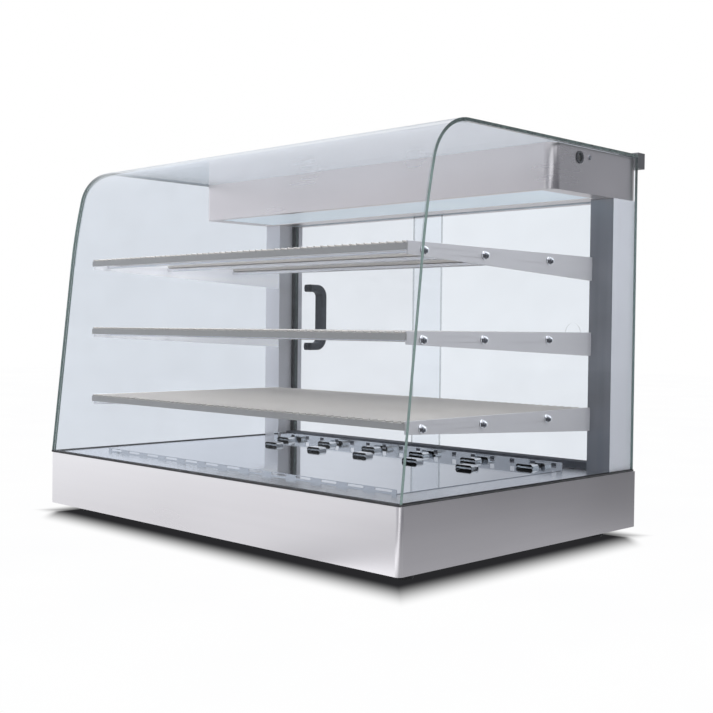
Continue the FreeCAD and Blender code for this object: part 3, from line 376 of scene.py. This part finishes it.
MATERIALS = {
    "brushed_stainless": brushed_steel("brushed_stainless", (0.90, 0.885, 0.905)),
    "satin_stainless": brushed_steel("satin_stainless", (0.82, 0.84, 0.87), 0.22, (2, 70, 70)),
    "galvanised_sheet": brushed_steel("galvanised_sheet", (0.5, 0.51, 0.52), 0.45, (30, 30, 30), 0.3),
    "black_rubber": rubber("black_rubber"),
    "zinc_screws": polished_steel("zinc_screws", (0.62, 0.62, 0.63), 0.2),
    "bright_chrome": polished_steel("bright_chrome", (0.8, 0.8, 0.82), 0.05),
    "element_steel": brushed_steel("element_steel", (0.25, 0.23, 0.21), 0.5, (20, 90, 90), 0.4),
    "clear_glass": pane_glass("clear_glass", (0.945, 0.96, 0.98), ("Y", CUT_EDGES_OFF_AXIS),
                              (0.2, 0.26, 0.25), 0.6),
    "frosted_glass": frosted_glass(),
    "lamp_glass": lamp_glass("lamp_glass", (0.98, 0.95, 0.9)),
    "white_ceramic": ceramic(),
    "bright_aluminium": polished_steel("bright_aluminium", (0.85, 0.85, 0.86), 0.12),
    "track_aluminium": brushed_steel("track_aluminium", (0.16, 0.17, 0.19), 0.38, (2, 70, 70)),
    "black_plastic": plastic("black_plastic", (0.018, 0.018, 0.02)),
    "red_plastic": plastic("red_plastic", (0.55, 0.02, 0.012), 0.22, 0.03, 0.5),
    "green_plastic": plastic("green_plastic", (0.02, 0.30, 0.06), 0.22, 0.03, 0.5),
    "charcoal_plastic": plastic("charcoal_plastic", (0.02, 0.024, 0.032), 0.5),
    "shaft_steel": polished_steel("shaft_steel", (0.6, 0.6, 0.6), 0.15),
    "shelf_steel": arm_steel(),
    "rack_wire": brushed_steel("rack_wire", (0.68, 0.645, 0.605), 0.4, (60, 60, 60), metallic=0.25),
}
NODE_MATERIALS = {
    "front_glass": pane_glass("front_pane_glass", (0.84, 0.865, 0.90), ("X", CUT_EDGES_ON_AXIS)),
    "left_side_glass": pane_glass("left_pane_glass", (0.84, 0.87, 0.91), ("X", CUT_EDGES_OFF_AXIS)),
    # painted light: the right pane is the same glass as the others, given a paler tint
    "right_side_glass": pane_glass("right_pane_glass", (0.90, 0.93, 0.965), ("X", CUT_EDGES_OFF_AXIS)),
    "left_post": post_steel(),
    "deck_insert": vented_mirror(),
    "rear_top_rail": brushed_steel("rail_steel", (0.30, 0.31, 0.32), 0.4),
    "upper_door_track": brushed_steel("upper_track_steel", (0.7, 0.74, 0.78), 0.35, metallic=0.3),
    "shelf_front_bars": brushed_steel("front_bar_steel", (0.42, 0.41, 0.395), 0.4, metallic=0.4),
    "lamp_housing": brushed_steel("housing_steel", (0.93, 0.86, 0.83)),
}
NODE_MATERIALS["right_post"] = NODE_MATERIALS["left_post"]
CASINGS = ("base_casing", "lamp_housing")
FOLDED_SHEET = ("left_post", "right_post", "deck_plate", "shelf_front_bars", "rear_top_rail")
MOULDED = ("left_door_handle", "power_inlet", "power_rocker", "light_rocker", "power_switch_body",
           "light_switch_body", "rubber_feet", "terminal_block")
CASING_EDGE = 1.0 * MM
FOLDED_EDGE = 0.4 * MM
MOULDED_EDGE = 0.8 * MM


def soften(item, width):
    """Rounds a CAD node's sharp edges without touching its own vertices."""
    weld = item.modifiers.new("weld", "WELD")
    weld.merge_threshold = 0.005 * MM
    bevel = item.modifiers.new("soft_edges", "BEVEL")
    bevel.width = width
    bevel.segments = 3
    bevel.limit_method = "ANGLE"
    bevel.angle_limit = math.radians(50)
    bevel.harden_normals = True


def dress_frame():
    """Gives every CAD node its material, and softens the edges of the folded and moulded ones."""
    slots = {part["node"]: part["material_slot"] for part in frame["record"]["subparts"]}
    for name, item in frame["nodes"].items():
        material = NODE_MATERIALS.get(name) or MATERIALS[slots[name]]
        item.data.materials.clear()
        item.data.materials.append(material)
        for face in item.data.polygons:
            face.material_index = 0
        if name in CASINGS:
            soften(item, CASING_EDGE)
        elif name in FOLDED_SHEET or name.endswith("_arm"):
            soften(item, FOLDED_EDGE)
        elif name in MOULDED:
            soften(item, MOULDED_EDGE)


# ---------------------------------------------------------------- shapes

def new_piece(name, mesh, material, body, stands_for=()):
    """Turns a bmesh into an object that rides a CAD body and hides the nodes it stands for."""
    bmesh.ops.recalc_face_normals(mesh, faces=mesh.faces)
    data = bpy.data.meshes.new(name)
    mesh.to_mesh(data)
    mesh.free()
    for face in data.polygons:
        face.use_smooth = True
    data.set_sharp_from_angle(angle=SHARP_ANGLE)
    data.materials.append(material)
    item = bpy.data.objects.new(name, data)
    bpy.context.scene.collection.objects.link(item)
    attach(item, body)
    if stands_for:
        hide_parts(*stands_for)
    return item


def new_wire(name, spots, radius, resolution, material):
    """Runs a round wire through the spots; it rides the case."""
    curve = bpy.data.curves.new(name, "CURVE")
    curve.dimensions = "3D"
    curve.bevel_depth = radius
    curve.bevel_resolution = resolution
    line = curve.splines.new("POLY")
    line.points.add(len(spots) - 1)
    for point, spot in zip(line.points, spots):
        point.co = (*spot, 1)
    curve.materials.append(material)
    item = bpy.data.objects.new(name, curve)
    bpy.context.scene.collection.objects.link(item)
    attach(item, "case")


def solids(node):
    """The corner points of each separate solid in a CAD node, in the frame's metres.

    Both the solids and their points come in the mesh's own order, so every run gives the same."""
    item = frame["nodes"][node]
    mesh = bmesh.new()
    mesh.from_mesh(item.data)
    mesh.transform(item.matrix_world)
    bmesh.ops.remove_doubles(mesh, verts=mesh.verts, dist=0.002 * MM)
    waiting = set(mesh.verts)
    found = []
    for start in mesh.verts:
        if start not in waiting:
            continue
        waiting.remove(start)
        group = []
        to_visit = [start]
        while to_visit:
            corner = to_visit.pop()
            group.append(corner.co.copy())
            for edge in corner.link_edges:
                other = edge.other_vert(corner)
                if other in waiting:
                    waiting.remove(other)
                    to_visit.append(other)
        found.append(group)
    mesh.free()
    return found


def middle(points):
    """The middle of the points' bounding box."""
    return Vector([(min(p[i] for p in points) + max(p[i] for p in points)) / 2 for i in range(3)])


def away_from_middle(spot):
    """The direction that looks out to the left or right from the spot's own half."""
    return Vector((math.copysign(1, spot.x), 0, 0))


def off_axis(spot, centre, axis):
    """How far the spot is from the axis through the centre."""
    return (spot - centre).cross(axis).length


def square_directions(axis):
    """Two directions square to the axis and to each other."""
    first = axis.orthogonal().normalized()
    return first, axis.cross(first)


def lathe(mesh, profile, base, axis, count=32, flutes=0, flute_depth=0.0):
    """Revolves (distance, radius) pairs about an axis from base; flutes press grooves in it."""
    first, second = square_directions(axis)
    rings = []
    for distance, radius in profile:
        ring = []
        for step in range(count):
            angle = math.tau * step / count
            press = 1 - flute_depth * (0.5 - 0.5 * math.cos(flutes * angle)) if flutes else 1
            spoke = first * math.cos(angle) + second * math.sin(angle)
            ring.append(mesh.verts.new(base + axis * distance + spoke * radius * press))
        rings.append(ring)
    for low, high in zip(rings, rings[1:]):
        for step in range(count):
            after = (step + 1) % count
            mesh.faces.new((low[step], low[after], high[after], high[step]))
    mesh.faces.new(reversed(rings[0]))
    mesh.faces.new(rings[-1])


def dome_profile(start, height, radius, steps=8):
    """(distance, radius) pairs of a dome that rises from start and closes at its top."""
    pairs = []
    for step in range(steps + 1):
        angle = math.pi / 2 * step / steps
        pairs.append((start + height * math.sin(angle), max(radius * math.cos(angle), 0.02 * radius)))
    return pairs


def cap_nuts():
    """Hexagon cap nuts with a washer face, a chamfered hexagon and a polished dome."""
    mesh = bmesh.new()
    for points in solids("dome_nuts"):
        centre = middle(points)
        axis = away_from_middle(centre)
        reach = [axis.dot(p) for p in points]
        radius = max(off_axis(p, centre, axis) for p in points)
        base = centre - axis * (axis.dot(centre) - min(reach))
        length = max(reach) - min(reach)
        washer, hexagon = 0.1 * length, 0.45 * length
        lathe(mesh, [(0, radius), (washer, radius)], base, axis)
        lathe(mesh, [(washer, radius * 0.90), (washer + 0.04 * length, radius * 0.98),
                     (hexagon - 0.06 * length, radius * 0.98), (hexagon, radius * 0.88)], base, axis, 6)
        lathe(mesh, [(hexagon - 0.1 * length, radius * 0.8)]
              + dome_profile(hexagon, length - hexagon, radius * 0.8), base, axis)
    new_piece("cap_nuts", mesh, crescent_chrome(), "case", ("dome_nuts",))


def cross_head(mesh, base, axis, radius, height):
    """A low domed screw head with a cross recess pressed in its top."""
    first, second = square_directions(axis)
    spokes, rings = 48, 12
    arm, slot, deep = radius * 0.55, radius * 0.12, height * 0.6
    lathe(mesh, [(0, radius), (height * 0.45, radius)], base, axis, spokes)
    grid = []
    for ring in range(1, rings + 1):
        share = ring / rings
        row = []
        for step in range(spokes):
            angle = math.tau * step / spokes
            across, up = radius * share * math.cos(angle), radius * share * math.sin(angle)
            level = height * (0.45 + 0.55 * math.sqrt(1 - share * share))
            in_cross = min(abs(across), abs(up)) < slot and max(abs(across), abs(up)) < arm
            level -= deep if in_cross else 0
            row.append(mesh.verts.new(base + axis * level + first * across + second * up))
        grid.append(row)
    for low, high in zip(grid, grid[1:]):
        for step in range(spokes):
            after = (step + 1) % spokes
            mesh.faces.new((low[step], low[after], high[after], high[step]))
    mesh.faces.new(grid[0])


def ridged_shank(mesh, base, axis, length, radius):
    """A screw's shank with a ridge at each pitch, standing in for its thread."""
    pitch, groove = 0.7 * MM, 0.82
    profile = []
    for step in range(2 * int(length / pitch), -1, -1):
        profile.append((-step * pitch / 2, radius if step % 2 else radius * groove))
    lathe(mesh, profile, base, axis, 20)


def cross_screws(node, body, material, outward=None):
    """Stands cross-head screws where a CAD node has plain ones.

    The heads look outward, or away from the case's middle when that isn't given."""
    mesh = bmesh.new()
    for points in solids(node):
        centre = middle(points)
        axis = outward or away_from_middle(centre)
        radius = max(off_axis(p, centre, axis) for p in points)
        rim = [axis.dot(p) for p in points if off_axis(p, centre, axis) > 0.95 * radius]
        tail = min(axis.dot(p) for p in points)
        under, top = min(rim), max(rim)
        base = centre + axis * (under - axis.dot(centre))
        cross_head(mesh, base, axis, radius, top - under)
        below_head = [p for p in points if axis.dot(p) < under - MM]
        distances = [off_axis(p, centre, axis) for p in below_head]
        shank = min(distance for distance in distances if distance > 0.1 * radius)
        ridged_shank(mesh, base, axis, under - tail, shank)
    new_piece(node + "_cross_head", mesh, material, body, (node,))


def control_knob():
    """A fluted knob with a skirt and a raised white pointer, in place of the plain CAD one."""
    low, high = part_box("thermostat_knob")
    centre = (low + high) / 2
    base = Vector((centre.x, low.y, centre.z))
    radius, depth = (high.x - low.x) / 2, high.y - low.y
    grip = radius * 0.74
    crown = depth - 0.5 * MM
    skirt = [(0, radius * 0.97), (0.4 * MM, radius), (2.2 * MM, radius), (3.6 * MM, radius * 0.93),
             (4.2 * MM, grip)]
    handle = [(4 * MM, grip), (depth - 2.5 * MM, grip * 0.97), (depth - 1.2 * MM, grip * 0.93),
              (crown, grip * 0.84), (crown, grip * 0.1)]
    mesh = bmesh.new()
    lathe(mesh, skirt, base, BACK, 96)
    lathe(mesh, handle, base, BACK, 144, flutes=18, flute_depth=0.07)
    new_piece("fluted_knob", mesh, MATERIALS["black_plastic"], "knob", ("thermostat_knob",))

    pointer = bmesh.new()
    bmesh.ops.create_cube(pointer, size=1)
    bmesh.ops.scale(pointer, verts=pointer.verts, vec=(1.6 * MM, 1.0 * MM, grip * 0.7))
    bmesh.ops.translate(pointer, verts=pointer.verts,
                        vec=Vector((centre.x, high.y - 0.55 * MM, centre.z + grip * 0.5)))
    bmesh.ops.bevel(pointer, geom=pointer.edges, offset=0.3 * MM, segments=3, affect="EDGES")
    new_piece("knob_pointer", pointer, MARKING, "knob")


def knob_travel():
    """The angle that the thermostat knob turns through, from its joint's range."""
    joints = {joint["name"]: joint for joint in frame["record"]["behaviour"]["joints"]}
    low, high = joints["thermostat_turn"]["range_deg"]
    return math.radians(high - low)


def dial_marks():
    """Raised ticks on the panel, clockwise from the top over as wide an angle as the knob turns.

    The knob itself turns anticlockwise, so its pointer crosses the gap that the ticks leave."""
    low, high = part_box("thermostat_knob")
    centre = (low + high) / 2
    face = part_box("base_rear_panel")[1].y
    reach = (high.x - low.x) / 2 + 3.4 * MM
    top, steps, steps_per_long_tick = math.radians(90), 9, 3
    mesh = bmesh.new()
    for step in range(steps + 1):
        angle = top + knob_travel() * step / steps
        made = bmesh.ops.create_cube(mesh, size=1)["verts"]
        length = 2.0 * MM if step % steps_per_long_tick else 3.2 * MM
        bmesh.ops.scale(mesh, verts=made, vec=(length, 0.24 * MM, 0.7 * MM))
        bmesh.ops.rotate(mesh, verts=made, cent=(0, 0, 0), matrix=Matrix.Rotation(-angle, 3, "Y"))
        spot = Vector((math.cos(angle) * reach, 0, math.sin(angle) * reach))
        bmesh.ops.translate(mesh, verts=made, vec=Vector((centre.x, face, centre.z)) + spot)
    new_piece("dial_marks", mesh, INK, "case")


def lamp_coils():
    """A wound filament inside each quartz lamp, short of the lamp's ends."""
    turns, steps_per_turn, margin = 110, 10, 22 * MM
    for number, points in enumerate(solids("lamp_tubes")):
        centre = middle(points)
        low = min(p.x for p in points)
        high = max(p.x for p in points)
        winding = 0.5 * (max(p.y for p in points) - centre.y)
        spots = []
        for step in range(turns * steps_per_turn + 1):
            share = step / (turns * steps_per_turn)
            angle = math.tau * step / steps_per_turn
            spots.append((low + margin + (high - low - 2 * margin) * share,
                          centre.y + winding * math.cos(angle),
                          centre.z + winding * math.sin(angle)))
        new_wire(f"lamp_coil_{number}", spots, 0.35 * MM, 2, FILAMENT)


def seam_path(node, inner):
    """Points down a side pane's front profile at its inner face, from the roof to the seat."""
    item = frame["nodes"][node]
    corners = [item.matrix_world @ corner.co for corner in item.data.vertices]
    rear = max(p.y for p in corners)
    seat = min(p.z for p in corners)
    kept = {}
    for p in corners:
        on_face = abs(p.x - inner) < 0.1 * MM
        if on_face and p.y < rear - 5 * MM and p.z > seat + MM:
            kept[(round(p.y, 5), round(p.z, 5))] = p
    return sorted(kept.values(), key=lambda p: (-p.z, -p.y))


def glass_seams():
    """Clear silicone beads in the corner between the side panes and the curved front pane."""
    radius = 1.4 * MM
    for side in ("left", "right"):
        node = f"{side}_side_glass"
        low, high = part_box(node)
        inner = high.x if side == "left" else low.x
        inset = math.copysign(radius / 2, -inner)
        spots = [(p.x + inset, p.y, p.z) for p in seam_path(node, inner)]
        new_wire(f"{side}_glass_seam", spots, radius, 3, SILICONE)


def add_pieces():
    """The finer pieces that replace CAD nodes or stand beside them."""
    bpy.context.view_layer.update()
    cap_nuts()
    zinc = MATERIALS["zinc_screws"]
    cross_screws("panel_screws", "case", zinc, BACK)
    cross_screws("rail_screws", "case", zinc, BACK)
    cross_screws("housing_end_screws", "case", zinc)
    cross_screws("foot_screws", "case", zinc, DOWN)
    cross_screws("handle_screws", "left_door", MATERIALS["charcoal_plastic"], FRONT)
    control_knob()
    dial_marks()
    lamp_coils()
    glass_seams()


INK = plastic("marking_ink", (0.02, 0.02, 0.022), 0.5)
MARKING = plastic("white_marking", (0.75, 0.75, 0.73), 0.45)
FILAMENT = brushed_steel("filament_wire", (0.35, 0.30, 0.26), 0.4, (300, 60, 60))
SILICONE = lamp_glass("clear_silicone", (0.93, 0.95, 0.95))


# ---------------------------------------------------------------- stage

# what the metals see of the room and of the floor, from the left (0) to the right (1)
ROOM_STOPS = [(0.0, (1.06, 1.07, 1.10)), (0.1, (1.0, 1.0, 1.03)), (0.15, (0.90, 0.90, 0.93)),
              (0.2, (0.56, 0.56, 0.59)), (0.28, (0.48, 0.48, 0.51)), (0.45, (0.46, 0.46, 0.49)),
              (0.78, (0.33, 0.335, 0.355)), (0.9, (0.22, 0.22, 0.24)), (1.0, (0.18, 0.18, 0.20))]
FLOOR_STOPS = [(0.0, (0.98, 0.99, 1.01)), (0.2, (0.91, 0.92, 0.94)), (0.4, (0.77, 0.77, 0.79)),
               (0.52, (0.76, 0.76, 0.78)), (0.6, (0.42, 0.42, 0.44)), (0.75, (0.31, 0.31, 0.325)),
               (1.0, (0.16, 0.16, 0.18))]
DIFFUSE_SHARE = 0.12
FLOOR_SIZE = 14
FLOOR_REACH = 1.6
LAMP_SIDE = (0.7, -0.7)

# the camera's angles, and its place counted in metres from the middle of the base's underside
CAMERA_AZIMUTH = math.radians(44.62)
CAMERA_ELEVATION = math.radians(1.435)
CAMERA_ROLL = math.radians(0.613)
CAMERA_OFFSET = Vector((1.4798, -1.4298, 0.3375))
CAMERA_LENS = 57.4
CAMERA_SENSOR = 36

# the contact shadow's distances in metres, counted outwards from the base's footprint
SHADOW_START = -0.025
SHADOW_REACH = 0.105
SHADOW_ENDS = 0.05
RIM_SHADE = 0.03
RIM_DARKNESS = 0.85


def glow_towards(s, direction, target, narrow, wide):
    """1 within the narrow cosine of the target direction, fading to 0 at the wide one."""
    aim = s.node("VectorMath", {0: direction, 1: Vector(target).normalized()},
                 operation="DOT_PRODUCT").outputs["Value"]
    return s.spread(aim, 0, 1, wide, narrow)


def studio_world():
    """White to the camera; to the metals, a bright room on the left that darkens to the right,
    with a bright ceiling and a lamp on the viewer's side; dim to everything that isn't shiny."""
    world = bpy.data.worlds.new("studio")
    bpy.context.scene.world = world
    s = Shader(world)
    direction = s.node("TexCoord").outputs["Generated"]
    parts = s.node("SeparateXYZ", {0: direction}).outputs
    across = s.ramp(s.spread(parts[0], 0, 1, -1, 1), ROOM_STOPS)
    walls = s.mix(s.spread(parts[2], 0, 1, 0.3, 0.6), across, (1.05, 1.05, 1.08))
    lamp = glow_towards(s, direction, (*LAMP_SIDE, 0.05), 0.97, 0.90)
    room = s.node("Background", {"Color": s.mix(lamp, walls, (1.0, 1.0, 1.02)), "Strength": 1.0})
    path = s.node("LightPath").outputs
    dim = s.node("Background", {"Color": across, "Strength": DIFFUSE_SHARE})
    seen = s.node("Background", {"Color": (1, 1, 1, 1), "Strength": 1.0})
    lit = s.blend(path["Is Diffuse Ray"], room.outputs[0], dim.outputs[0])
    mixed = s.blend(path["Is Camera Ray"], lit, seen.outputs[0])
    s.done(mixed, "OutputWorld")


def smooth_fade(s, item, dark_until, clear_from):
    """1 up to dark_until, falling smoothly to 0 at clear_from."""
    limits = {"Value": item, "From Min": dark_until, "From Max": clear_from, "To Min": 1.0, "To Max": 0.0}
    return s.node("MapRange", limits, interpolation_type="SMOOTHSTEP").outputs["Result"]


def contact_shadow(s):
    """How dark the floor is at a place: 1 under the case, fading out towards the viewer.

    A place is in shadow when the way from it, straight away from the viewer, enters the base's
    footprint. The shade fades with the distance to the footprint, from just inside its edge, and
    where the way only clips it. A narrow rim of shade runs round the whole footprint as well."""
    low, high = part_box("base_casing")
    place = s.place_parts()
    right, front = math.sin(CAMERA_AZIMUTH), math.cos(CAMERA_AZIMUTH)

    def difference(first, second):
        return s.math("SUBTRACT", first, second)

    def farther(first, second):
        return s.math("MAXIMUM", first, second)

    past_right, past_front = difference(place[0], high.x), difference(low.y, place[1])
    enter = farther(s.math("DIVIDE", past_right, right), s.math("DIVIDE", past_front, front))
    leave = s.math("MINIMUM", s.math("DIVIDE", difference(place[0], low.x), right),
                   s.math("DIVIDE", difference(high.y, place[1]), front))
    # counted from the place itself, so that the floor behind the case stays clear
    clipped = smooth_fade(s, difference(leave, farther(enter, 0.0)), 0.0, SHADOW_ENDS)
    cast = s.math("MULTIPLY", difference(1.0, clipped), smooth_fade(s, enter, SHADOW_START, SHADOW_REACH))
    past_side = farther(past_right, difference(low.x, place[0]))
    outside = farther(past_side, farther(past_front, difference(place[1], high.y)))
    rim = s.math("MULTIPLY", smooth_fade(s, outside, -RIM_SHADE, RIM_SHADE), RIM_DARKNESS)
    return farther(cast, rim)


def floor_reflection(s):
    """What the metals see of the floor: bright on the left, darker to the right and to the back."""
    place = s.place_parts()
    across = s.ramp(s.spread(place[0], 0, 1, -FLOOR_REACH, FLOOR_REACH), FLOOR_STOPS)
    across = s.mix(s.spread(place[1], 0, 0.35, 0.2, 0.6), across, (0, 0, 0))
    outward = s.node("VectorMath", {0: s.place()}, operation="NORMALIZE").outputs[0]
    lamp = glow_towards(s, outward, (*LAMP_SIDE, 0), 0.999, 0.985)
    return s.mix(lamp, across, (1.1, 1.1, 1.13))


def pale_floor():
    """White floor with the contact shadow; what mirrors in the metals is floor_reflection."""
    s = new_shader("pale_floor")
    speck = s.noise(3.0)
    tone = s.mix(s.spread(speck, 0, 1), (0.985, 0.985, 0.99), (1, 1, 1))
    shaded = s.mix(contact_shadow(s), tone, (0.022, 0.022, 0.024))
    seen = s.node("Emission", {"Color": shaded}).outputs[0]
    mirrored = s.node("Emission", {"Color": floor_reflection(s)}).outputs[0]
    matt = s.surface((0.93, 0.93, 0.935), 0.9)
    path = s.node("LightPath").outputs
    unseen = s.blend(path["Is Glossy Ray"], matt, mirrored)
    past_glass = s.math("GREATER_THAN", path["Transparent Depth"], 0.5)
    not_glossy = s.math("SUBTRACT", 1.0, path["Is Glossy Ray"])
    looked_at = s.math("MAXIMUM", path["Is Camera Ray"], s.math("MULTIPLY", past_glass, not_glossy))
    material = s.done(s.blend(looked_at, unseen, seen))
    bpy.ops.mesh.primitive_plane_add(size=FLOOR_SIZE, location=(0, 0, 0))
    floor = bpy.context.object
    floor.name = "floor"
    floor.data.materials.append(material)


def area_light(name, place, target, size, power):
    """A soft rectangular light that looks from its place to the target and shows in no mirror."""
    data = bpy.data.lights.new(name, "AREA")
    data.shape = "RECTANGLE"
    data.size, data.size_y = size
    data.energy = power
    light = bpy.data.objects.new(name, data)
    bpy.context.scene.collection.objects.link(light)
    light.location = place
    light.rotation_euler = (Vector(target) - Vector(place)).to_track_quat("-Z", "Y").to_euler()
    light.visible_glossy = False


def add_camera():
    """Stands at the picture's viewpoint, level with the middle rack and off the right front corner."""
    low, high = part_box("base_casing")
    foot = Vector(((low.x + high.x) / 2, (low.y + high.y) / 2, low.z))
    level = math.cos(CAMERA_ELEVATION)
    back = Vector((math.sin(CAMERA_AZIMUTH) * level, -math.cos(CAMERA_AZIMUTH) * level,
                   math.sin(CAMERA_ELEVATION)))
    right = Vector((0, 0, 1)).cross(back).normalized()
    up = back.cross(right)
    image_right = right * math.cos(CAMERA_ROLL) + up * math.sin(CAMERA_ROLL)
    image_up = up * math.cos(CAMERA_ROLL) - right * math.sin(CAMERA_ROLL)
    data = bpy.data.cameras.new("camera")
    data.lens = CAMERA_LENS
    data.sensor_width = CAMERA_SENSOR
    camera = bpy.data.objects.new("camera", data)
    bpy.context.scene.collection.objects.link(camera)
    turn = Matrix((image_right, image_up, back)).transposed().to_4x4()
    camera.matrix_world = Matrix.Translation(foot + CAMERA_OFFSET) @ turn
    bpy.context.scene.camera = camera


def light_stage():
    """Soft light from above, with weaker fills from the front and the right.

    The floor that the camera sees gives its own light, so these throw no visible shadow on it."""
    area_light("overhead", (-0.25, 0.2, 2.4), (0, 0, 0.1), (2.0, 1.6), 125)
    area_light("front_fill", (-0.6, -2.2, 1.7), (0, 0, 0.25), (1.6, 1.6), 16)
    area_light("side_fill", (2.0, 0.1, 1.2), (0, 0, 0.3), (1.4, 1.4), 22)


dress_frame()
add_pieces()
studio_world()
pale_floor()
light_stage()
add_camera()
bpy.context.scene.view_settings.view_transform = "Standard"
